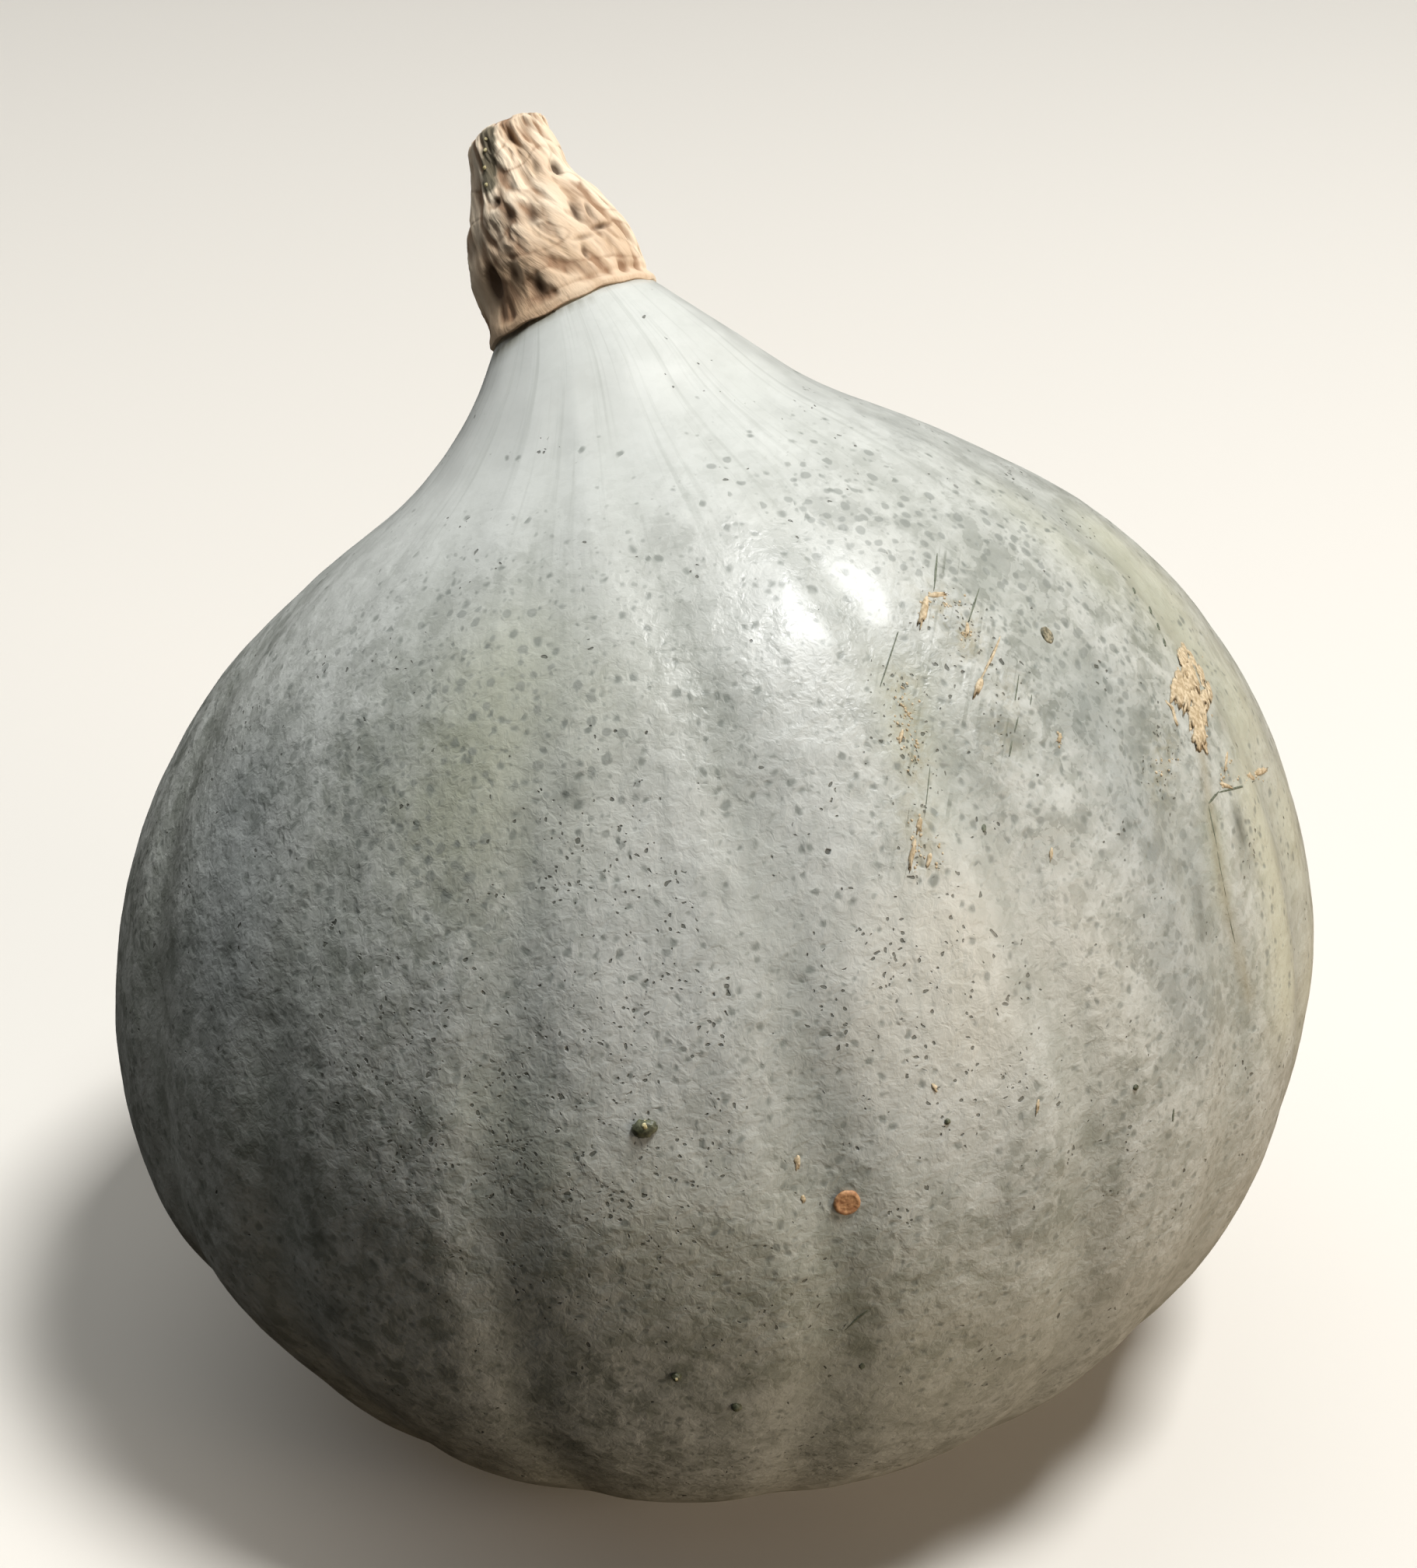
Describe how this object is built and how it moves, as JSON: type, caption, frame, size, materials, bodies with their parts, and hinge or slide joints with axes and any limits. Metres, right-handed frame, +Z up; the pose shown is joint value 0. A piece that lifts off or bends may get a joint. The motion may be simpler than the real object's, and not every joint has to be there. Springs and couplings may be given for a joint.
{
  "type": "kabocha squash",
  "caption": "Whole round winter squash with shallow ribs, a short neck that leans over and a corky stem stub, resting upright on its blossom end.",
  "frame": {"origin": "on the resting surface, under the middle of the bounding box", "axes": "+Z up from the blossom end towards the stem; -Y is the front, the side the picture shows; +X is to the right seen from the front"},
  "size_m": [0.1996, 0.1997, 0.2087],
  "materials": {
    "skin": "satin",
    "cork": "matte"
  },
  "bodies": {
    "root": {"fruit": "skin", "stem": "cork"}
  },
  "joints": []
}
